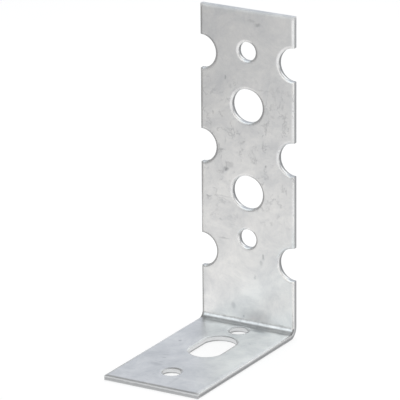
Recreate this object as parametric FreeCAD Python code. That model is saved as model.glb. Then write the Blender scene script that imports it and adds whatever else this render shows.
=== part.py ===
# Right-angle wall anchor: one strip of galvanised steel sheet, punched while flat and then folded once.
# Millimetres, +Z up. The upright leg stands at the back (+Y) and the base leg runs forward (-Y).
# The origin is on the floor, in the middle of the footprint.
import FreeCAD, Part
import math
import os

from FreeCAD import Vector

# The strip and its fold
strip_width = 38.0
sheet = 2.0  # thickness, with its zinc
bend_radius = 2.2  # inside the fold

# The rolled edge: where a punch or shear enters the sheet, it draws the surface down before it cuts.
# They all entered from the side that became the inside of the fold.
roll_width = 0.9  # along the face
roll_depth = 0.3  # down the cut wall

# The punches
anchor_hole_d = 12.5  # for expansion anchors and frame screws
nail_hole_d = 7.0  # for nails and wood screws
notch_d = 12.5  # half-round notches, centred on the strip's side edges
slot_width = 12.5
slot_length = 21.8  # end to end, along the base
overrun = 1.0  # how far a cutter runs past the sheet

# Centre line of the upright, from the floor to the top edge
floor_to_low_nail = 34.7
low_nail_to_low_anchor = 17.4
anchor_pitch = 32.4
top_anchor_to_top_nail = 20.2
top_nail_to_edge = 15.3

# Notches on the upright, each placed from a hole on the centre line
notch_below_low_nail = 6.9
notch_above_low_anchor = 15.1
notch_below_top_nail = 2.4

# Centre line of the base, from the fold to the front edge
flat_beside_fold = 0.1  # between the fold and the rolled edge of the hole beside it
fold_nail_to_slot = 18.4
slot_to_front_nail = 28.7
front_nail_to_edge = 14.2

# Heights on the upright
low_nail = floor_to_low_nail
low_anchor = low_nail + low_nail_to_low_anchor
top_anchor = low_anchor + anchor_pitch
top_nail = top_anchor + top_anchor_to_top_nail
upright_height = top_nail + top_nail_to_edge
notch_heights = [
    low_nail - notch_below_low_nail,
    low_anchor + notch_above_low_anchor,
    top_nail - notch_below_top_nail,
]

# Distances along the base, from the face that meets the wall
fold_nail = sheet + bend_radius + flat_beside_fold + roll_width + nail_hole_d / 2
slot_centre = fold_nail + fold_nail_to_slot
front_nail = slot_centre + slot_to_front_nail
base_length = front_nail + front_nail_to_edge

# Planes and lines that the cuts share
wall_y = base_length / 2  # back of the upright
inside_y = wall_y - sheet  # front of the upright
front_y = wall_y - base_length
side_x = strip_width / 2
outer_radius = bend_radius + sheet
fold_y = wall_y - outer_radius
fold_z = outer_radius

# Directions: across the strip, up, and through each leg from its inside face to its outside one
ACROSS = Vector(1, 0, 0)
UP = Vector(0, 0, 1)
THROUGH_UPRIGHT = Vector(0, 1, 0)
THROUGH_BASE = Vector(0, 0, -1)


def line(start, end):
    return Part.LineSegment(start, end).toShape()


def face_inside(*edges):
    """The flat face inside a closed run of edges."""
    return Part.Face(Part.Wire(Part.__sortEdges__(list(edges))))


def fold_arc(radius):
    """Quarter circle about the fold, from the base's end round to the upright's."""
    centre = Vector(-side_x, fold_y, fold_z)
    lean = radius * math.sin(math.radians(45))
    middle = centre + Vector(0, lean, -lean)
    return Part.Arc(centre - UP * radius, middle, centre + THROUGH_UPRIGHT * radius).toShape()


def folded_strip():
    """The plain strip: an L section with an even wall through the fold, as wide as the strip."""
    base_front = Vector(-side_x, front_y, 0)
    base_rise = Vector(0, 0, sheet)
    wall_top = Vector(-side_x, wall_y, upright_height)
    top_depth = Vector(0, -sheet, 0)
    outside = fold_arc(outer_radius)
    inside = fold_arc(bend_radius)
    section = face_inside(
        line(base_front, outside.firstVertex().Point),
        outside,
        line(outside.lastVertex().Point, wall_top),
        line(wall_top, wall_top + top_depth),
        line(wall_top + top_depth, inside.lastVertex().Point),
        inside,
        line(inside.firstVertex().Point, base_front + base_rise),
        line(base_front + base_rise, base_front),
    )
    return section.extrude(ACROSS * strip_width)


def rolled_edge(corner, inwards, through):
    """The rolled edge's arc, from the face to the cut wall. Halfway along it has dropped a third of its depth."""
    on_face = corner + inwards * roll_width
    halfway = corner + inwards * (roll_width / 2) + through * (roll_depth / 3)
    on_wall = corner + through * roll_depth
    return Part.Arc(on_face, halfway, on_wall).toShape()


def punch_section(centre, out, through, radius):
    """Half section of a punch, from its axis out to its wall, with a mouth that leaves the rolled edge."""
    corner = centre + out * radius
    roll = rolled_edge(corner, out, through)
    mouth = roll.firstVertex().Point
    above = through * -overrun
    below = through * (sheet + overrun)
    return face_inside(
        line(centre + above, mouth + above),
        line(mouth + above, mouth),
        roll,
        line(roll.lastVertex().Point, corner + below),
        line(corner + below, centre + below),
        line(centre + below, centre + above),
    )


def upright_punch(x, height, diameter):
    """A round punch through the upright. At a notch its seam faces away from the strip."""
    centre = Vector(x, inside_y, height)
    seam = ACROSS * math.copysign(1, x)
    return punch_section(centre, seam, THROUGH_UPRIGHT, diameter / 2).revolve(centre, THROUGH_UPRIGHT, 360)


def base_punch(from_wall, diameter):
    """A round punch through the base, on its centre line."""
    centre = Vector(0, wall_y - from_wall, sheet)
    return punch_section(centre, ACROSS, THROUGH_BASE, diameter / 2).revolve(centre, THROUGH_BASE, 360)


def slot_punch(from_wall):
    """A round-ended punch lying along the base: a half turn at each end and two straight halves between."""
    radius = slot_width / 2
    middle = Vector(0, wall_y - from_wall, sheet)
    reach = Vector(0, slot_length / 2 - radius, 0)
    front = middle - reach
    back = middle + reach
    right = punch_section(front, ACROSS, THROUGH_BASE, radius).extrude(reach * 2)
    left = punch_section(front, -ACROSS, THROUGH_BASE, radius).extrude(reach * 2)
    front_end = punch_section(front, ACROSS, THROUGH_BASE, radius).revolve(front, UP, -180)
    back_end = punch_section(back, ACROSS, THROUGH_BASE, radius).revolve(back, UP, 180)
    return right.fuse([left, front_end, back_end]).removeSplitter()


def edge_section(corner, inwards, through):
    """Section of the cutter that leaves the rolled edge along the strip's outline."""
    roll = rolled_edge(corner, inwards, through)
    on_face = roll.firstVertex().Point
    on_wall = roll.lastVertex().Point
    above = through * -overrun
    beyond = inwards * -overrun
    return face_inside(
        roll,
        line(on_wall, on_wall + beyond),
        line(on_wall + beyond, corner + beyond + above),
        line(corner + beyond + above, on_face + above),
        line(on_face + above, on_face),
    )


def side_edge(side):
    """The rolled edge down one side of the strip: upright, fold and base."""
    inwards = ACROSS * -side
    upright = edge_section(Vector(side * side_x, inside_y, fold_z), inwards, THROUGH_UPRIGHT)
    base = edge_section(Vector(side * side_x, fold_y, sheet), inwards, THROUGH_BASE)
    return [
        upright.extrude(UP * (upright_height - fold_z + overrun)),
        base.revolve(Vector(0, fold_y, fold_z), ACROSS, 90),
        base.extrude(Vector(0, front_y - fold_y - overrun, 0)),
    ]


def end_edge(corner, inwards, through):
    """The rolled edge across one end of the strip."""
    start = corner - ACROSS * (side_x + overrun)
    return edge_section(start, inwards, through).extrude(ACROSS * (strip_width + 2 * overrun))


def cutters():
    """Everything that is cut from the plain strip."""
    tools = [upright_punch(side * side_x, height, notch_d) for height in notch_heights for side in (-1, 1)]
    tools += [upright_punch(0, height, anchor_hole_d) for height in (low_anchor, top_anchor)]
    tools += [upright_punch(0, height, nail_hole_d) for height in (low_nail, top_nail)]
    tools += [base_punch(from_wall, nail_hole_d) for from_wall in (fold_nail, front_nail)]
    tools.append(slot_punch(slot_centre))
    tools += side_edge(-1) + side_edge(1)
    tools.append(end_edge(Vector(0, inside_y, upright_height), -UP, THROUGH_UPRIGHT))
    tools.append(end_edge(Vector(0, front_y, sheet), THROUGH_UPRIGHT, THROUGH_BASE))
    return tools


os.makedirs("parts", exist_ok=True)
anchor = folded_strip().cut(cutters()).removeSplitter()
anchor.exportStep("parts/wall_anchor.step")
print(f"wall_anchor: {strip_width:.1f} x {base_length:.1f} x {upright_height:.1f} mm, {anchor.Volume:.1f} mm3")
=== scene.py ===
# %% [markdown]
# # A right-angle wall anchor
# The anchor is one strip of galvanised steel. A press punches it while it is flat and then folds it
# once. The construction model already has its true sizes, so it is loaded first and never moved.
# This lesson makes the strip again as a finer mesh, in the same order as the workshop does:
# outline, punches, thickness, cut edges, fold. A clean mesh of its own gives smooth highlights on
# the edges, which are what the eye reads on a plain piece of metal.

# %% Load the construction model
import math

import bmesh
import bpy
from mathutils import Matrix, Vector


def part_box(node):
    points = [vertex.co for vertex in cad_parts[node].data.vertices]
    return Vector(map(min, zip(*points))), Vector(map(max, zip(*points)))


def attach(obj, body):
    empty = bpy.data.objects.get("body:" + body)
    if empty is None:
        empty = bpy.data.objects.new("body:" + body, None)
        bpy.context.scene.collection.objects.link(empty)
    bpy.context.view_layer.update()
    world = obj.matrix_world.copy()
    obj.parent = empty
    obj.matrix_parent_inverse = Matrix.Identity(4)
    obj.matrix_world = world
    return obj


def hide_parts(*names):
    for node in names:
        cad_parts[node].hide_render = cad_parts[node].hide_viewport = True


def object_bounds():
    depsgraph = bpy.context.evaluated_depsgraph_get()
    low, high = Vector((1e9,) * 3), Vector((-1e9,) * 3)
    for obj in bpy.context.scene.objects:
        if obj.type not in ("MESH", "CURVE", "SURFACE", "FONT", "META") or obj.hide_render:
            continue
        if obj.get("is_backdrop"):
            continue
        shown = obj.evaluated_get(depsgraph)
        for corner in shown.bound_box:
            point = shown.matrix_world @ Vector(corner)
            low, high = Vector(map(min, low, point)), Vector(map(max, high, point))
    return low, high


MM = 0.001
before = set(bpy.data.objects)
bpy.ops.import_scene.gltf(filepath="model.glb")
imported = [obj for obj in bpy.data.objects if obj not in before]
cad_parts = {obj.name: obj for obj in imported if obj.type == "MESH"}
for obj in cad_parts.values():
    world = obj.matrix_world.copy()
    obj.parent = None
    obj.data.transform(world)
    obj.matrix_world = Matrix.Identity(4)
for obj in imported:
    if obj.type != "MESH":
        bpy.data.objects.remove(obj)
cad_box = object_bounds()
low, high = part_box("wall_anchor")
print("construction box in mm:", [round(x / MM, 2) for x in (*low, *high)])

# %% [markdown]
# ## The camera
# The photograph was taken from the right, a little above, with a long lens, so the legs hardly
# converge. The angles and the distance come from fitting the strip's corners and holes to the
# picture. The picture is square and 400 pixels wide, so the lens is worked out from pixels per
# millimetre.

# %% Camera
azimuth, elevation, roll = (math.radians(a) for a in (30.474, 18.909, -0.425))
distance = 1562.0
picture_pixels, pixels_per_mm = 400, 2.8423
between_legs = Vector((0, 6.5, 52.25))
left_of_it, above_it = 3.49, 4.824  # from there to the middle of the picture
sensor_width = 36

back = Vector((
    math.sin(azimuth) * math.cos(elevation),
    -math.cos(azimuth) * math.cos(elevation),
    math.sin(elevation),
))
right = Vector((math.cos(azimuth), math.sin(azimuth), 0))
up = back.cross(right)
right, up = (
    right * math.cos(roll) + up * math.sin(roll),
    up * math.cos(roll) - right * math.sin(roll),
)
looks_at = between_legs - right * left_of_it + up * above_it
camera = bpy.data.objects.new("camera", bpy.data.cameras.new("camera"))
camera.data.sensor_width = sensor_width
camera.data.lens = pixels_per_mm * distance / picture_pixels * sensor_width
stands_at = Matrix.Translation((looks_at + back * distance) * MM)
camera.matrix_world = stands_at @ Matrix((right, up, back)).transposed().to_4x4()
bpy.context.scene.collection.objects.link(camera)
bpy.context.scene.camera = camera
bpy.context.scene.view_settings.view_transform = "Standard"
print("lens in mm:", round(camera.data.lens, 1), "distance in mm:", distance)

# %% [markdown]
# ## Small helpers for every finish
# Colours are written as in a paint program, so one function turns them to the linear values that
# light needs. One more adds a node with its settings and links. Everything else in a finish is
# written out in its own cell. A Mix node has sockets for every kind of data, and numbers tell them
# apart, so the ones that this lesson uses get names.

# %% Colour and node helpers
FACTOR, NUMBER_A, NUMBER_B, COLOUR_A, COLOUR_B = 0, 2, 3, 6, 7  # inputs of a Mix node
MIXED_COLOUR = 2  # its output for colours


def linear(code):
    """A colour such as "#c8cbcd" as linear red, green, blue and alpha."""
    channels = [int(code[i : i + 2], 16) / 255 for i in (1, 3, 5)]
    return [c / 12.92 if c <= 0.04045 else ((c + 0.055) / 1.055) ** 2.4 for c in channels] + [1.0]


def add(tree, kind, sockets=None, **settings):
    """Adds a node, gives it its settings, and fills its sockets with plain values or with links."""
    node = tree.nodes.new(kind)
    for name, value in settings.items():
        setattr(node, name, value)
    for socket, value in (sockets or {}).items():
        if isinstance(value, bpy.types.NodeSocket):
            tree.links.new(value, node.inputs[socket])
        else:
            node.inputs[socket].default_value = value
    return node


print("mid grey in linear light:", [round(c, 3) for c in linear("#808080")])

# %% [markdown]
# ## The floor
# The part stands on a sheet of white acrylic, lit softly from below, as product photographers use
# for a clean white ground. Acrylic scatters light evenly, so a matt surface is enough. It keeps the
# part's shadow, and its glow makes the rest white. The glow is switched on only for what the camera
# sees directly, in a reflection or through glass, so it adds no light to the part.

# %% Floor
floor_size = 12.0  # in metres
floor_gap = 0.05 * MM  # a hair below the part, so that no two faces coincide
bm = bmesh.new()
bmesh.ops.create_grid(bm, x_segments=1, y_segments=1, size=floor_size / 2)
bmesh.ops.translate(bm, verts=bm.verts[:], vec=(0, 0, -floor_gap))
floor = bpy.data.objects.new("floor", bpy.data.meshes.new("floor"))
bm.to_mesh(floor.data)
bm.free()
bpy.context.scene.collection.objects.link(floor)
print("floor:", floor_size, "m square")

# %% Acrylic
floor_glow = 0.76
acrylic = bpy.data.materials.new("opal_acrylic_sheet")  # matt and even, with no shine of its own
acrylic.use_nodes = True
acrylic.cycles.emission_sampling = "NONE"
table = acrylic.node_tree
table.nodes.clear()
ray = add(table, "ShaderNodeLightPath").outputs
seen = {0: ray["Is Camera Ray"], 1: ray["Is Glossy Ray"]}
seen = add(table, "ShaderNodeMath", seen, operation="MAXIMUM").outputs[0]
seen = {0: seen, 1: ray["Is Transmission Ray"]}
seen = add(table, "ShaderNodeMath", seen, operation="MAXIMUM").outputs[0]
strength = add(table, "ShaderNodeMath", {0: seen, 1: floor_glow}, operation="MULTIPLY").outputs[0]
glow = add(table, "ShaderNodeEmission", {"Strength": strength}).outputs[0]
matt = add(table, "ShaderNodeBsdfDiffuse", {"Color": linear("#959595")}).outputs[0]
both = add(table, "ShaderNodeAddShader", {0: matt, 1: glow}).outputs[0]
add(table, "ShaderNodeOutputMaterial", {"Surface": both})
floor.data.materials.append(acrylic)
floor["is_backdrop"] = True
print("acrylic with a glow of", floor_glow)

# %% [markdown]
# ## The light
# Bare metal shows the room around it. The room here is a dim grey one with a pale horizon and a few
# soft panels, painted on the world as smooth spots by direction: a soft box high in front, a low
# window in front that draws the bright crescents at the holes, bluish daylight behind with a window
# in it, and a ceiling. One soft box overhead lights the ground and leaves a faint shadow.

# %% World
room_level, horizon_level = 0.25, 0.46
horizon_end, horizon_full = 0.24, 0.04  # upward part of a direction where it ends and is full
panels = [  # name, direction to its middle, degrees from there to full and none, brightness, colour
    ("front_softbox", (-0.33, -0.76, 0.58), 14, 30, 1.29, "#eef6fa"),
    ("front_window", (-0.10, -0.97, 0.12), 8, 20, 1.18, "#fcfbf9"),
    ("back_wall", (-0.10, 0.92, 0.26), 22, 54, 0.80, "#eef3fb"),
    ("back_window", (0.28, 0.81, 0.48), 10, 27, 1.40, "#ffffff"),
    ("ceiling", (-0.40, -0.50, 0.77), 16, 44, 0.40, "#f0f5f8"),
]
world = bpy.data.worlds.new("soft_room")
bpy.context.scene.world = world
world.use_nodes = True
room = world.node_tree
room.nodes.clear()
direction = add(room, "ShaderNodeTexCoord").outputs["Generated"]
upwards = add(room, "ShaderNodeSeparateXYZ", {0: direction}).outputs["Z"]
pale = {"Value": upwards, "From Min": horizon_end, "From Max": horizon_full}
pale = add(room, "ShaderNodeMapRange", pale, interpolation_type="SMOOTHSTEP").outputs[0]
room_grey, horizon_grey = ([level] * 3 + [1] for level in (room_level, horizon_level))
light = {FACTOR: pale, COLOUR_A: room_grey, COLOUR_B: horizon_grey}
light = add(room, "ShaderNodeMix", light, data_type="RGBA").outputs[MIXED_COLOUR]
for name, middle, full, none, brightness, tint in panels:
    towards = {0: direction, 1: Vector(middle).normalized()}
    towards = add(room, "ShaderNodeVectorMath", towards, operation="DOT_PRODUCT").outputs["Value"]
    none, full = math.cos(math.radians(none)), math.cos(math.radians(full))
    spot = {"Value": towards, "From Min": none, "From Max": full}
    spot = add(room, "ShaderNodeMapRange", spot, interpolation_type="SMOOTHSTEP").outputs[0]
    panel_light = [brightness * c for c in linear(tint)]
    light = {FACTOR: spot, COLOUR_A: light, COLOUR_B: panel_light}
    light = add(room, "ShaderNodeMix", light, data_type="RGBA", blend_type="LIGHTEN")
    light = light.outputs[MIXED_COLOUR]
sky = add(room, "ShaderNodeBackground", {"Color": light}).outputs[0]
add(room, "ShaderNodeOutputWorld", {"Surface": sky})
print("panels on the world:", [p[0] for p in panels])

# %% Lamp
lamp_place, lamp_side, lamp_radiance = Vector((-60, 150, 520)), 420, 3.0
lamp = bpy.data.objects.new("overhead_softbox", bpy.data.lights.new("overhead_softbox", "AREA"))
lamp.data.size = lamp_side * MM
lamp.data.energy = lamp_radiance * math.pi * (lamp_side * MM) ** 2
lamp.location = lamp_place * MM
lamp.visible_camera = lamp.visible_glossy = False
bpy.context.scene.collection.objects.link(lamp)
print("lamp power in watts:", round(lamp.data.energy, 2))

# %% [markdown]
# ## Grey boards
# A photographer sets grey boards around shiny metal to give its faces tone and its edges a dark
# line. A graded board lies in front on the left, where the upright mirrors it, and ends at a low
# standing one. A slanted board on the left darkens the rolled edges that face it, and a small one
# at the foot does the same lower down. One lies behind for the walls of the holes and the back. Two
# narrow ones lie beside the base as painted shadow: its cut edges mirror them in place of the
# floor's shadow there. Each is matt card, sprayed from one grey to another, and only reflections
# see it.

# %% Boards
boards = [  # name, middle and sides in mm, turn and tilt in degrees, brightness near and far
    ("front_board", (-270, -186, 0.1), (360, 560), -30.7, 0, 0.84, 0.52),
    ("far_board", (-297, -349, 35), (600, 70), -30.7, 90, 0.42, 0.42),
    ("left_board", (-356, -70, 116), (500, 460), -120.7, -30, 0.34, 0.34),
    ("foot_board", (-66, 27, 0.12), (60, 64), -43.8, 0, 0.42, 0.42),
    ("back_board", (60, 237, 0.1), (800, 400), 180, 0, 0.58, 0.44),
    # painted shadow: these two stand in for the floor's shadow beside the base, which its cut edges
    # mirror
    ("side_shadow_board", (21.2, -2, 0.1), (76, 4), 90, 0, 0.36, 0.80),
    ("lip_shadow_board", (0, -39, 0.1), (40, 7), 0, 0, 0.60, 0.60),
]
print("boards:", [b[0] for b in boards])

# %% Board meshes and their card
fade_start, fade_end = -0.3, 0.03  # shares of a board's depth, outwards from its middle
for name, middle, (wide, deep), turn, tilt, near, far in boards:
    middle = Vector(middle) * MM
    tilted = Matrix.Rotation(math.radians(tilt), 3, "X")
    turned = Matrix.Rotation(math.radians(turn), 3, "Z") @ tilted
    bm = bmesh.new()
    bmesh.ops.create_grid(bm, x_segments=1, y_segments=1, size=0.5)
    bmesh.ops.scale(bm, verts=bm.verts[:], vec=(wide * MM, deep * MM, 1))
    bmesh.ops.rotate(bm, verts=bm.verts[:], cent=(0, 0, 0), matrix=turned)
    bmesh.ops.translate(bm, verts=bm.verts[:], vec=middle)
    board = bpy.data.objects.new(name, bpy.data.meshes.new(name))
    bm.to_mesh(board.data)
    bm.free()
    bpy.context.scene.collection.objects.link(board)
    card = bpy.data.materials.new(name + "_card")
    card.use_nodes = True
    card.cycles.emission_sampling = "NONE"
    card_tree = card.node_tree
    card_tree.nodes.clear()
    outwards = turned @ Vector((0, -1, 0))
    half_way = middle.dot(outwards)
    away = {0: add(card_tree, "ShaderNodeTexCoord").outputs["Object"], 1: outwards}
    away = add(card_tree, "ShaderNodeVectorMath", away, operation="DOT_PRODUCT").outputs["Value"]
    tone = {"Value": away, "To Min": near, "To Max": far}
    tone["From Min"], tone["From Max"] = (half_way + f * deep * MM for f in (fade_start, fade_end))
    tone = add(card_tree, "ShaderNodeMapRange", tone, interpolation_type="SMOOTHSTEP").outputs[0]
    tone = add(card_tree, "ShaderNodeEmission", {"Strength": tone}).outputs[0]
    add(card_tree, "ShaderNodeOutputMaterial", {"Surface": tone})
    board.data.materials.append(card)
    board.visible_camera = board.visible_diffuse = False
    board.visible_shadow = board.visible_transmission = False
    board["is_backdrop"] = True
print("boards stand and lie around the part:", len(boards))

# %% [markdown]
# ## The outline of the blank
# The strip is drawn flat first, as it lies in the press, with the fold laid out straight. Its two
# long sides have three half-round notches. The outline is walked like a pen: a vertex is extruded
# along a straight, and spun about the notch's centre for a round. Drawing only the edge keeps every
# later step the same for the outline and for the holes.

# %% Sizes of the strip
strip_width, sheet, bend_radius = 38.0, 2.0, 2.2
base_length, upright_height = 70.0, 120.0
wall_y, front_y = base_length / 2, -base_length / 2
side_x = strip_width / 2
outer_radius = bend_radius + sheet
fold_start = wall_y - outer_radius  # along Y, where the base stops being flat
fold_length = (bend_radius + sheet / 2) * math.pi / 2  # along the middle of the sheet


def along_upright(height):
    """Where a height on the upright lies on the flat strip."""
    return fold_start + fold_length + height - outer_radius


strip_top = along_upright(upright_height)
print("flat strip in mm:", strip_width, "x", round(strip_top - front_y, 2))

# %% Pen
roll_depth = 0.3  # of the rolled edge
burnish_top = sheet - roll_depth  # height on the flat strip where the cut wall starts
steps_per_turn = 72
same_point = 0.001 * MM  # vertices closer than this are one
bm = bmesh.new()


def straight(pen, x, y):
    """Draws a straight edge from the pen's vertex and returns the new end."""
    end = bmesh.ops.extrude_vert_indiv(bm, verts=[pen])["verts"][0]
    end.co = Vector((x, y, burnish_top)) * MM
    return end


def round_the_bend(pen, x, y, turn):
    """Draws an arc about a centre from the pen's vertex and returns the new end."""
    centre = Vector((x, y, burnish_top)) * MM
    steps = round(steps_per_turn * abs(turn) / (2 * math.pi))
    arc = bmesh.ops.spin(bm, geom=[pen], cent=centre, axis=(0, 0, 1), angle=turn, steps=steps)
    return next(v for v in arc["geom_last"] if isinstance(v, bmesh.types.BMVert))


print("the pen draws at a height of", burnish_top, "mm")

# %% Outline
notch_heights = (27.8, 67.2, 102.3)
notch_radius = 6.25
beside_corner = side_x - 1.5  # a vertex there keeps a corner's shading off the rest of the end
pen = bm.verts.new(Vector((side_x, front_y, burnish_top)) * MM)
for height in notch_heights:
    pen = straight(pen, side_x, along_upright(height) - notch_radius)
    pen = round_the_bend(pen, side_x, along_upright(height), -math.pi)
for x in (side_x, beside_corner, -beside_corner, -side_x):
    pen = straight(pen, x, strip_top)
for height in reversed(notch_heights):
    pen = straight(pen, -side_x, along_upright(height) + notch_radius)
    pen = round_the_bend(pen, -side_x, along_upright(height), -math.pi)
for x in (-side_x, -beside_corner, beside_corner, side_x):
    pen = straight(pen, x, front_y)
bmesh.ops.remove_doubles(bm, verts=bm.verts[:], dist=same_point)
print("outline edges:", len(bm.edges))

# %% [markdown]
# The rolled edges of a notch and of the strip's side meet at a sharp corner, and they need room
# there. So the first step of each notch's arc beside such a corner is taken out.

# %% Room at the notches' corners
hair = 0.01
first_step = notch_radius * math.sin(2 * math.pi / steps_per_turn)
by_corner = [v for v in bm.verts if hair < side_x - abs(v.co.x) / MM < first_step + hair]
bmesh.ops.dissolve_verts(bm, verts=by_corner)
print("vertices taken out beside corners:", len(by_corner))

# %% [markdown]
# ## The punches
# Each leg has round holes on its centre line, and the base has one long slot for adjustment. A
# round hole is a ready-made circle of edges. The slot is walked with the pen: two straights and two
# half turns.

# %% Holes and slot
nail_radius, anchor_radius = 3.5, 6.25
holes = [  # radius, place along the flat strip
    (nail_radius, along_upright(34.7)),
    (anchor_radius, along_upright(52.1)),
    (anchor_radius, along_upright(84.5)),
    (nail_radius, along_upright(104.7)),
    (nail_radius, wall_y - 8.7),
    (nail_radius, wall_y - 55.8),
]
for radius, y in holes:
    centre = Matrix.Translation(Vector((0, y, burnish_top)) * MM)
    bmesh.ops.create_circle(
        bm, cap_ends=False, segments=steps_per_turn, radius=radius * MM, matrix=centre
    )

slot_radius, slot_length, slot_y = 6.25, 21.8, wall_y - 27.1
reach = slot_length / 2 - slot_radius
pen = bm.verts.new(Vector((slot_radius, slot_y - reach, burnish_top)) * MM)
pen = straight(pen, slot_radius, slot_y + reach)
pen = round_the_bend(pen, 0, slot_y + reach, math.pi)
pen = straight(pen, -slot_radius, slot_y - reach)
pen = round_the_bend(pen, 0, slot_y - reach, math.pi)
bmesh.ops.remove_doubles(bm, verts=bm.verts[:], dist=same_point)
print("edges with holes and slot:", len(bm.edges))

# %% [markdown]
# ## Sheet and cut walls
# A fill between the outline and the holes gives the sheet. Solidify then gives it the burnished
# part of the cut wall: the bright band that the punch polishes before the metal tears.

# %% Fill and thickness
burnish = 0.9
bmesh.ops.triangle_fill(
    bm, use_beauty=True, use_dissolve=False, edges=bm.edges[:], normal=(0, 0, 1)
)
bmesh.ops.solidify(bm, geom=bm.faces[:], thickness=burnish * MM)
facing = 0.9  # a face of the sheet points almost straight up or down, and a cut wall to the side
inside_faces = [f for f in bm.faces if f.normal.z > facing]
outside_faces = [f for f in bm.faces if f.normal.z < -facing]
print("faces on each side:", len(inside_faces), len(outside_faces))
print("closed:", all(e.is_manifold for e in bm.edges))

# %% [markdown]
# ## Rolled edge and break
# Where the punch enters, it pulls the surface down into a soft roll about a millimetre wide. Below
# the burnished band the metal breaks and leaves a crisp edge at the back. Both run along every cut:
# the outline, the notches, the holes and the slot. An inset moves all those borders at once, so the
# roll is a run of small insets, each rising a little less than the one before.

# %% Insets
def inset(faces, across, rise):
    """Moves the border of these faces inwards and their whole area outwards."""
    across, rise = across * MM, rise * MM
    bmesh.ops.inset_region(
        bm, faces=faces, thickness=across, depth=rise, use_boundary=True, use_even_offset=True
    )


roll_width, roll_steps, roll_power = 1.1, 9, 1.9  # a higher power is steeper at the wall
flat_ring = 0.1  # with it, the flat of the sheet keeps a straight shading
left_over = [roll_depth * (1 - k / roll_steps) ** roll_power for k in range(roll_steps + 1)]
for before, after in zip(left_over, left_over[1:]):
    inset(inside_faces, roll_width / roll_steps, before - after)
inset(inside_faces, flat_ring, 0)

break_depth = burnish_top - burnish
break_taper, break_lip, back_ring = 0.03, 0.04, 0.2
inset(outside_faces, break_taper, break_depth - break_lip)
inset(outside_faces, break_lip, break_lip)
inset(outside_faces, back_ring, 0)
heights = sorted({round(v.co.z / MM, 3) for v in bm.verts})
print("levels in the sheet in mm:", heights[0], "to", heights[-1], "faces:", len(bm.faces))

# %% [markdown]
# ## The cut as attributes
# The finish has to know where the cut walls are, also after the fold has turned them. So each
# vertex keeps how far down the cut it lies, as a share of the sheet, and both faces of the sheet
# keep zero. The straight sides and ends were sheared, which polishes less and tears more than a
# punch does, so they get a mark of their own. The blade at the two ends was blunt and left their
# rolled edge dull, so the ends get one more mark. At the top it also drew zinc over the wall, which
# therefore counts as skin. A cut straight across the strip, close to each end, keeps these marks
# from spreading along the sides.

# %% Cut depth, sheared edges and blunt ends
def cut_across(y):
    """Adds a row of edges straight across the flat strip, at this many millimetres along it."""
    everything = bm.verts[:] + bm.edges[:] + bm.faces[:]
    row = Vector((0, y, 0)) * MM
    bmesh.ops.bisect_plane(bm, geom=everything, dist=same_point, plane_co=row, plane_no=(0, 1, 0))


near_edge, end_band = 0.1, 1.4
outside_face = 0.999  # share of the sheet
cut_depth = bm.verts.layers.float.new("cut_depth")
sheared = bm.verts.layers.float.new("sheared")
blunt = bm.verts.layers.float.new("blunt")
for y in (front_y + end_band, strip_top - end_band):
    cut_across(y)
for v in bm.verts:
    x, y, z = v.co / MM
    from_top = strip_top - y
    from_end = min(y - front_y, from_top)
    depth = 1 - z / sheet
    v[cut_depth] = depth if depth < outside_face and from_top > near_edge else 0.0
    v[sheared] = float(min(side_x - abs(x), from_end) < near_edge)
    v[blunt] = float(from_end < end_band - near_edge)
on_wall = 0.1
counts = [sum(v[layer] > on_wall for v in bm.verts) for layer in (cut_depth, sheared, blunt)]
print("vertices on cut walls, on sheared edges and at the ends:", counts)

# %% [markdown]
# Walls that face right get the darker torn band sooner than the rest, as painted shade.
# The fold turns about X and leaves that direction alone, so each face can keep it now.

# %% Faces that look to the right
faces_right = bm.faces.layers.float.new("faces_right")
bm.normal_update()
for f in bm.faces:
    f[faces_right] = f.normal.x
print("faces that look to the right:", sum(f[faces_right] > facing for f in bm.faces))

# %% [markdown]
# ## The fold
# The press wipes the long leg up round a small radius. Straight cuts across the strip give the bend
# its rows, and each row is carried back to where the bend starts and turned about the fold's axis
# by its share of ninety degrees. Everything past the bend turns the whole way.

# %% Fold
fold_rows = 14
beside_fold = 0.3  # one more row on each side, so that the flats keep a straight shading
fold_angle = math.radians(90)
on_the_flat = 0.0005  # rows that lie less than this past the start of the bend stay where they are
row_places = [fold_length * k / fold_rows for k in range(fold_rows + 1)]
for place in row_places + [-beside_fold, fold_length + beside_fold]:
    cut_across(fold_start + place)
axis_point = Vector((0, fold_start, outer_radius)) * MM
rows = {}
for v in bm.verts:
    past = min(v.co.y / MM - fold_start, fold_length)
    if past > on_the_flat:
        rows.setdefault(round(past, 3), []).append(v)
for past, verts in rows.items():
    bmesh.ops.translate(bm, verts=verts, vec=Vector((0, -past, 0)) * MM)
    turn = Matrix.Rotation(fold_angle * past / fold_length, 3, "X")
    bmesh.ops.rotate(bm, verts=verts, cent=axis_point, matrix=turn)
print("rows turned:", len(rows))

# %% Shading and object
crisp_angle = math.radians(35)  # edges that turn more than this stay crisp
for f in bm.faces:
    f.smooth = True
for e in bm.edges:
    e.smooth = e.calc_face_angle(0) < crisp_angle
strip = bpy.data.objects.new("wall_anchor_strip", bpy.data.meshes.new("wall_anchor_strip"))
bm.to_mesh(strip.data)
bm.free()
bpy.context.scene.collection.objects.link(strip)
print("faces of the strip:", len(strip.data.polygons))
print("size of the strip in mm:", [round(d / MM, 2) for d in strip.dimensions])

# %% [markdown]
# ## Galvanised steel: the skin
# The sheet is steel dipped in molten zinc. Zinc freezes in flat crystals, so the skin is a quiet
# mottle of greys, half dull and half bright. A photograph of it would repeat and would fit one
# light only, so the mottle is built from noise: clouds about a centimetre wide for the way the zinc
# ran off, cells of three millimetres for the crystals, and a grain below that.

# %% Clouds, crystals and grain
zinc = bpy.data.materials.new("galvanised_steel_hot_dipped")  # a metal with a soft, cloudy shine
zinc.use_nodes = True
skin_tree = zinc.node_tree
skin_tree.nodes.clear()
place = add(skin_tree, "ShaderNodeTexCoord").outputs["Object"]
height = add(skin_tree, "ShaderNodeSeparateXYZ", {0: place}).outputs["Z"]


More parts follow.
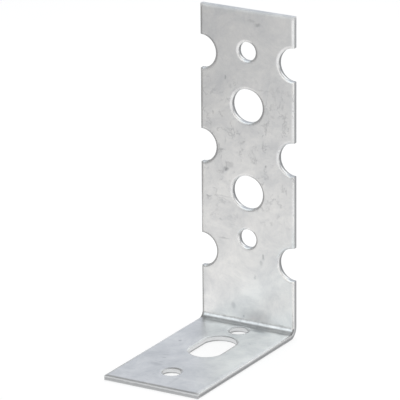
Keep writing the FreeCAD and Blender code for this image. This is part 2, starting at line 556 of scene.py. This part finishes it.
def per_metre(size):
    """Scale of a pattern whose features are this many millimetres wide."""
    return 1 / (size * MM)


cloud_size, crystal_size, grain_size = 10, 3.2, 1.6
clouds = {"Vector": place, "Scale": per_metre(cloud_size), "Detail": 5, "Roughness": 0.78}
clouds |= {"Distortion": 0.4}
clouds = add(skin_tree, "ShaderNodeTexNoise", clouds).outputs
grain = {"Vector": place, "Scale": per_metre(grain_size), "Detail": 3, "Roughness": 0.6}
grain = add(skin_tree, "ShaderNodeTexNoise", grain).outputs
drift = (12 * MM,) * 3  # how far the clouds push the crystals, which bends their outlines
pushed = {0: clouds["Color"], 1: drift}
pushed = add(skin_tree, "ShaderNodeVectorMath", pushed, operation="MULTIPLY").outputs[0]
pushed = add(skin_tree, "ShaderNodeVectorMath", {0: place, 1: pushed}, operation="ADD").outputs[0]
crystals = {"Vector": pushed, "Scale": per_metre(crystal_size)}
crystals = add(skin_tree, "ShaderNodeTexVoronoi", crystals).outputs["Color"]
print("clouds, crystals and grain in mm:", cloud_size, crystal_size, grain_size)

# %% [markdown]
# The skin is lighter towards the foot of the strip. This is painted light, standing in for the
# brighter light there. Where the mottle is light, the zinc is also smoother.

# %% Tones of the skin
crystal_share = 0.06
# painted light: heights where the lighter foot starts and is full, and how much it lifts the mottle
foot_light_from, foot_light_full, foot_light_gain = 110 * MM, 10 * MM, 0.10
darkest, lightest = 0.28, 0.78  # range of the noise that the two tones span
tone = {0: crystals, 1: crystal_share, 2: clouds["Fac"]}
tone = add(skin_tree, "ShaderNodeMath", tone, operation="MULTIPLY_ADD").outputs[0]
painted_foot_light = {"Value": height, "From Min": foot_light_from, "From Max": foot_light_full, "To Max": foot_light_gain}
painted_foot_light = add(skin_tree, "ShaderNodeMapRange", painted_foot_light, interpolation_type="SMOOTHSTEP").outputs[0]
tone = add(skin_tree, "ShaderNodeMath", {0: tone, 1: painted_foot_light}, operation="ADD").outputs[0]
mottle = {"Value": tone, "From Min": darkest, "From Max": lightest}
mottle = add(skin_tree, "ShaderNodeMapRange", mottle).outputs[0]
skin_colour = {FACTOR: mottle, COLOUR_A: linear("#dadbdd"), COLOUR_B: linear("#fbfaf8")}
skin_colour = add(skin_tree, "ShaderNodeMix", skin_colour, data_type="RGBA").outputs[MIXED_COLOUR]
skin_rough = {"Value": mottle, "To Min": 0.40, "To Max": 0.29}
skin_rough = add(skin_tree, "ShaderNodeMapRange", skin_rough).outputs[0]
print("nodes for the skin:", len(skin_tree.nodes))

# %% [markdown]
# ## Short strokes
# In the middle of the upright the zinc froze last and left short dark strokes. They are the borders
# of cells, and a second noise leaves only pieces of them, so no whole cell shows.

# %% Strokes
stroke_spacing, patch_size = 4.5, 4
stroke_edge, stroke_core = 0.09, 0.02  # shares of a cell, from its border inwards
patch_from, patch_to, stroke_dark = 0.5, 0.6, 0.27
froze_last, none_from, full_from = 68 * MM, 33 * MM, 16 * MM  # a height, and distances from it
# grey of dull zinc, also used for the painted shade at the fold
dull_zinc_and_shade = linear("#8d8f92")
borders = {"Vector": pushed, "Scale": per_metre(stroke_spacing)}
borders = add(skin_tree, "ShaderNodeTexVoronoi", borders, feature="DISTANCE_TO_EDGE")
thin = {"Value": borders.outputs["Distance"], "From Min": stroke_edge, "From Max": stroke_core}
thin = add(skin_tree, "ShaderNodeMapRange", thin).outputs[0]
patches = {"Vector": place, "Scale": per_metre(patch_size), "Detail": 2}
patches = add(skin_tree, "ShaderNodeTexNoise", patches).outputs["Fac"]
patches = {"Value": patches, "From Min": patch_from, "From Max": patch_to, "To Max": stroke_dark}
patches = add(skin_tree, "ShaderNodeMapRange", patches).outputs[0]
strokes = add(skin_tree, "ShaderNodeMath", {0: thin, 1: patches}, operation="MULTIPLY").outputs[0]
zone = add(skin_tree, "ShaderNodeMath", {0: height, 1: froze_last}, operation="SUBTRACT").outputs[0]
zone = add(skin_tree, "ShaderNodeMath", {0: zone}, operation="ABSOLUTE").outputs[0]
zone = {"Value": zone, "From Min": none_from, "From Max": full_from}
zone = add(skin_tree, "ShaderNodeMapRange", zone).outputs[0]
strokes = add(skin_tree, "ShaderNodeMath", {0: strokes, 1: zone}, operation="MULTIPLY").outputs[0]
stroked = {FACTOR: strokes, COLOUR_A: skin_colour, COLOUR_B: dull_zinc_and_shade}
skin_colour = add(skin_tree, "ShaderNodeMix", stroked, data_type="RGBA").outputs[MIXED_COLOUR]
print("strokes up to", round(full_from / MM), "mm above and below", round(froze_last / MM), "mm")

# %% [markdown]
# ## Marks of handling, and painted shade at the fold
# The strip was dipped, stacked and shipped, so it has a few dull rubs, dots and short scratches.
# The dark band along the inside of the fold and the dark patches beside it on the base are painted
# shade. Each is a soft ellipsoid, placed in millimetres where it shows. A little of the grain bends
# their outlines.

# %% Places of the marks and of the painted shade
marks_and_shade = [  # middle, half sizes along X, Y and Z, how much darker
    ((4.3, 33, 115.1), (1.9, 0.9, 1.1), 0.42),
    ((1.9, 33, 116.3), (2.4, 0.9, 0.8), 0.22),
    ((-8.9, 33, 94.0), (0.5, 0.9, 1.1), 0.45),
    ((-8.7, 33, 59.9), (1.6, 0.9, 1.2), 0.65),
    ((-7.0, 33, 61.6), (2.4, 0.9, 1.8), 0.25),
    ((7.6, 33, 63.0), (0.7, 0.9, 0.7), 0.50),
    ((6.4, 33, 28.8), (0.6, 0.9, 1.6), 0.45),
    ((3.0, 33, 20.6), (0.5, 0.9, 1.5), 0.30),
    ((3.6, 33, 6.0), (9.0, 0.9, 3.6), 0.20),
    ((-6.0, 33, 8.4), (1.4, 0.9, 2.0), 0.20),
    ((-15.9, 33, 48.5), (1.8, 0.9, 0.6), 0.40),
    ((-14.0, 33, 80.2), (0.6, 0.9, 0.9), 0.35),
    ((-8.1, -14.4, 2), (1.7, 0.45, 0.9), 0.30),
    ((-9.4, -10.5, 2), (1.7, 0.45, 0.9), 0.30),
    ((-10.1, -7.6, 2), (1.7, 0.45, 0.9), 0.25),
    ((-13.0, 7.0, 2), (1.1, 1.1, 0.9), 0.40),
    ((-8.3, -16.8, 2), (3.5, 2.5, 0.9), 0.18),
    ((5.2, -27.5, 2), (1.2, 6.5, 0.9), 0.15),
    ((10.5, 16.0, 2), (0.7, 0.7, 0.9), 0.30),
    ((-10.5, 33, 66.8), (2.4, 0.9, 0.5), 0.35),
    ((-9.0, 33, 70.5), (0.6, 0.9, 1.6), 0.22),
    ((-7.0, 33, 75.0), (2.5, 0.9, 0.6), 0.18),
    ((2.0, 33, 68.0), (0.6, 0.9, 1.4), 0.18),
    ((6.5, 33, 71.0), (0.5, 0.9, 2.0), 0.18),
    ((10.5, 33, 82.0), (1.2, 0.9, 1.0), 0.20),
    ((14.5, 33, 86.0), (0.6, 0.9, 1.4), 0.20),
    ((5.5, 33, 91.3), (2.2, 0.9, 0.5), 0.20),
    ((14.5, 33, 56.5), (0.5, 0.9, 1.9), 0.20),
    ((16.0, 33, 54.5), (0.5, 0.9, 1.7), 0.20),
    ((12.7, 33, 52.8), (0.6, 0.9, 1.2), 0.16),
    ((8.5, 33, 50.3), (0.6, 0.9, 1.0), 0.22),
    ((-10.0, 33, 49.3), (5.5, 0.9, 0.35), 0.20),
    ((10.0, 33, 42.0), (0.8, 0.9, 1.2), 0.20),
    ((-11.0, 33, 40.3), (1.2, 0.9, 0.6), 0.22),
    ((-14.8, 33, 41.5), (0.9, 0.9, 0.7), 0.22),
    ((-9.6, 33, 33.4), (3.4, 0.9, 0.4), 0.30),
    ((5.6, 33, 26.6), (0.6, 0.9, 1.8), 0.25),
    ((-1.5, 33, 4.8), (0.7, 0.9, 0.7), 0.40),
    ((14.0, 33, 3.9), (2.5, 0.9, 0.6), 0.25),
    # the last four are painted shade: a band along the inside of the fold, wider at its left, a
    # patch beside the fold's nail hole, and a patch on the base left of it
    ((0.0, 31.1, 2.1), (70, 2.1, 1.2), 0.38),
    ((-14.0, 29.3, 2), (8.0, 3.4, 0.9), 0.24),
    ((6.8, 28.8, 2), (4.6, 2.1, 0.9), 0.55),
    ((-9.0, 22.0, 2), (11.0, 9.0, 0.9), 0.13),
]
print("marks:", len(marks_and_shade))

# %% Marks and painted shade
ellipsoid_edge, ellipsoid_core = 1.0, 0.2  # shares of an ellipsoid where its darkening ends and is full
noise_middle, bend_size = (0.5,) * 3, (1.6 * MM,) * 3
bend = {0: grain["Color"], 1: noise_middle}
bend = add(skin_tree, "ShaderNodeVectorMath", bend, operation="SUBTRACT").outputs[0]
bend = {0: bend, 1: bend_size}
bend = add(skin_tree, "ShaderNodeVectorMath", bend, operation="MULTIPLY").outputs[0]
bent = add(skin_tree, "ShaderNodeVectorMath", {0: place, 1: bend}, operation="ADD").outputs[0]
dull_and_shade = 0.0
for middle, half_size, darker in marks_and_shade:
    around = {"Vector": bent, "Location": Vector(middle) * MM, "Scale": Vector(half_size) * MM}
    around = add(skin_tree, "ShaderNodeMapping", around, vector_type="TEXTURE").outputs[0]
    away = add(skin_tree, "ShaderNodeVectorMath", {0: around}, operation="LENGTH").outputs["Value"]
    mark_and_shade = {"Value": away, "From Min": ellipsoid_edge, "From Max": ellipsoid_core, "To Max": darker}
    mark_and_shade = add(skin_tree, "ShaderNodeMapRange", mark_and_shade, interpolation_type="SMOOTHSTEP").outputs[0]
    dull_and_shade = add(skin_tree, "ShaderNodeMath", {0: dull_and_shade, 1: mark_and_shade}, operation="MAXIMUM").outputs[0]
# the marks, and the painted shade at the fold, mix the skin towards this grey
marked_and_shaded = {FACTOR: dull_and_shade, COLOUR_A: skin_colour, COLOUR_B: dull_zinc_and_shade}
skin_colour = add(skin_tree, "ShaderNodeMix", marked_and_shaded, data_type="RGBA").outputs[MIXED_COLOUR]
print("nodes with the marks:", len(skin_tree.nodes))

# %% [markdown]
# ## The fold line: worn zinc and painted glints
# The inside of the fold catches the light as a bright line. The nose of the press slid along it and
# flaked its zinc in places. A long thin ellipsoid like the marks lies on that line, and the grain
# breaks it into dull flakes of worn zinc and bright beads, which are painted glints.

# %% Fold line
line_place, line_half_size = Vector((0, 32.85, 3.45)), Vector((400, 0.75, 0.8))
line_edge, line_core, wear_and_glint = 1.0, 0.4, 0.28
flake_grain, glint_grain = 0.4, 0.65
fold_line = {"Vector": bent, "Location": line_place * MM, "Scale": line_half_size * MM}
fold_line = add(skin_tree, "ShaderNodeMapping", fold_line, vector_type="TEXTURE").outputs[0]
away = add(skin_tree, "ShaderNodeVectorMath", {0: fold_line}, operation="LENGTH").outputs["Value"]
worn_and_glint = {"Value": away, "From Min": line_edge, "From Max": line_core, "To Max": wear_and_glint}
worn_and_glint = add(skin_tree, "ShaderNodeMapRange", worn_and_glint, interpolation_type="SMOOTHSTEP").outputs[0]
glints_and_flakes = {"Value": grain["Fac"], "From Min": flake_grain, "From Max": glint_grain}
glints_and_flakes = add(skin_tree, "ShaderNodeMapRange", glints_and_flakes).outputs[0]
# painted glints: bright beads whiten the fold line's highlight, and the dull flakes are worn zinc
glints_and_flakes = {FACTOR: glints_and_flakes, COLOUR_A: dull_zinc_and_shade, COLOUR_B: linear("#ffffff")}
glints_and_flakes = add(skin_tree, "ShaderNodeMix", glints_and_flakes, data_type="RGBA").outputs[MIXED_COLOUR]
glinted_and_worn = {FACTOR: worn_and_glint, COLOUR_A: skin_colour, COLOUR_B: glints_and_flakes}
skin_colour = add(skin_tree, "ShaderNodeMix", glinted_and_worn, data_type="RGBA").outputs[MIXED_COLOUR]
print("fold line worn over", strip_width, "mm")

# %% [markdown]
# ## The cut walls
# A punched wall has a land that the punch polished, and below it a torn band. A sheared edge has a
# thinner land and tears for most of its depth. On walls that face right the torn band is painted to
# start sooner, on the upright much more than on the base, as painted shade. The land shines almost
# like the skin. The torn band is coarse and grey, so it reads as a darker line, and the grain makes
# its start ragged.

# %% Land
roll_end, wall_start = 0.13, 0.18  # shares of the sheet between which the roll becomes the wall
down = add(skin_tree, "ShaderNodeAttribute", attribute_name="cut_depth").outputs["Fac"]
shear = add(skin_tree, "ShaderNodeAttribute", attribute_name="sheared").outputs["Fac"]
cut = {"Value": down, "From Min": roll_end, "From Max": wall_start}
cut = add(skin_tree, "ShaderNodeMapRange", cut).outputs[0]
land = {FACTOR: shear, COLOUR_A: linear("#dcddde"), COLOUR_B: linear("#eeeff0")}
land = add(skin_tree, "ShaderNodeMix", land, data_type="RGBA").outputs[MIXED_COLOUR]
colour = {FACTOR: cut, COLOUR_A: skin_colour, COLOUR_B: land}
colour = add(skin_tree, "ShaderNodeMix", colour, data_type="RGBA").outputs[MIXED_COLOUR]
print("the cut wall starts at", wall_start, "of the sheet")

# %% Torn band
late_tear, base_shade_start, early_tear_and_shade = 0.95, 0.85, 0.55  # shares of the sheet where the torn band starts; on walls that face right it is painted shade
base_to, upright_from = 3 * MM, 6 * MM  # heights
facing_shade_none, facing_shade_full = 0.35, 0.85  # how far a wall faces right where its painted shade starts and is full
raggedness, tear_blur = 0.25, 0.05
right_facing = add(skin_tree, "ShaderNodeAttribute", attribute_name="faces_right").outputs["Fac"]
# painted shade: walls that face right get the darker torn band sooner, more on the upright than on
# the base
right_shade_start = {"Value": height, "From Min": base_to, "From Max": upright_from}
right_shade_start |= {"To Min": base_shade_start, "To Max": early_tear_and_shade}
right_shade_start = add(skin_tree, "ShaderNodeMapRange", right_shade_start).outputs[0]
start = {"Value": right_facing, "From Min": facing_shade_none, "From Max": facing_shade_full}
start |= {"To Min": late_tear, "To Max": right_shade_start}
start = add(skin_tree, "ShaderNodeMapRange", start).outputs[0]
start = {FACTOR: shear, NUMBER_A: start, NUMBER_B: early_tear_and_shade}
start = add(skin_tree, "ShaderNodeMix", start).outputs[0]
ragged = {0: grain["Fac"], 1: raggedness, 2: down}
ragged = add(skin_tree, "ShaderNodeMath", ragged, operation="MULTIPLY_ADD").outputs[0]
past = add(skin_tree, "ShaderNodeMath", {0: ragged, 1: start}, operation="SUBTRACT").outputs[0]
torn = {"Value": past, "From Min": -tear_blur, "From Max": tear_blur}
torn = add(skin_tree, "ShaderNodeMapRange", torn).outputs[0]
torn = add(skin_tree, "ShaderNodeMath", {0: torn, 1: cut}, operation="MULTIPLY").outputs[0]
tear = {FACTOR: shear, COLOUR_A: linear("#b8b9ba"), COLOUR_B: linear("#cfd0d1")}
tear = add(skin_tree, "ShaderNodeMix", tear, data_type="RGBA").outputs[MIXED_COLOUR]
colour = {FACTOR: torn, COLOUR_A: colour, COLOUR_B: tear}
colour = add(skin_tree, "ShaderNodeMix", colour, data_type="RGBA").outputs[MIXED_COLOUR]
print("tears start at", late_tear, base_shade_start, early_tear_and_shade, "of the sheet")

# %% [markdown]
# ## Gloss and relief
# The roll at each cut was stretched smooth and mirrors more sharply than the skin, but not at the
# blunt ends. The torn band is rough. The same noise that colours the zinc gives it a very low
# relief, and the strokes lie a little deeper. Then everything meets in one metal.

# %% Gloss, relief and metal
skin_end, roll_start = 0.003, 0.03  # shares of the sheet between which the skin becomes the roll
roll_rough, coarse = 0.26, 0.55
relief_height, stroke_relief = 0.03 * MM, -4.0
rolled = {"Value": down, "From Min": skin_end, "From Max": roll_start}
rolled = add(skin_tree, "ShaderNodeMapRange", rolled).outputs[0]
ends = add(skin_tree, "ShaderNodeAttribute", attribute_name="blunt").outputs["Fac"]
rolled_rough = {"Value": ends, "To Min": roll_rough, "To Max": coarse}
rolled_rough = add(skin_tree, "ShaderNodeMapRange", rolled_rough).outputs[0]
rough = {FACTOR: rolled, NUMBER_A: skin_rough, NUMBER_B: rolled_rough}
rough = add(skin_tree, "ShaderNodeMix", rough).outputs[0]
rough = {FACTOR: torn, NUMBER_A: rough, NUMBER_B: coarse}
rough = add(skin_tree, "ShaderNodeMix", rough).outputs[0]
relief = {0: grain["Fac"], 1: clouds["Fac"]}
relief = add(skin_tree, "ShaderNodeMath", relief, operation="ADD").outputs[0]
relief = {0: strokes, 1: stroke_relief, 2: relief}
relief = add(skin_tree, "ShaderNodeMath", relief, operation="MULTIPLY_ADD").outputs[0]
bump = {"Height": relief, "Strength": 1.0, "Distance": relief_height}
bump = add(skin_tree, "ShaderNodeBump", bump).outputs[0]
metal = {"Base Color": colour, "Metallic": 1.0, "Roughness": rough, "Normal": bump}
metal = add(skin_tree, "ShaderNodeBsdfPrincipled", metal).outputs[0]
add(skin_tree, "ShaderNodeOutputMaterial", {"Surface": metal})
strip.data.materials.append(zinc)
print("finish:", zinc.name, len(skin_tree.nodes), "nodes")

# %% [markdown]
# ## Into the frame
# The strip takes the place of the construction model's node and rides on its only body. Its box has
# to stay inside the construction model's, so both are written down.

# %% Frame and size
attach(strip, "root")
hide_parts("wall_anchor")
visual_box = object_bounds()
for name, box in (("construction", cad_box), ("visual", visual_box)):
    print(name, "box in mm:", [round(x / MM, 2) for corner in box for x in corner])
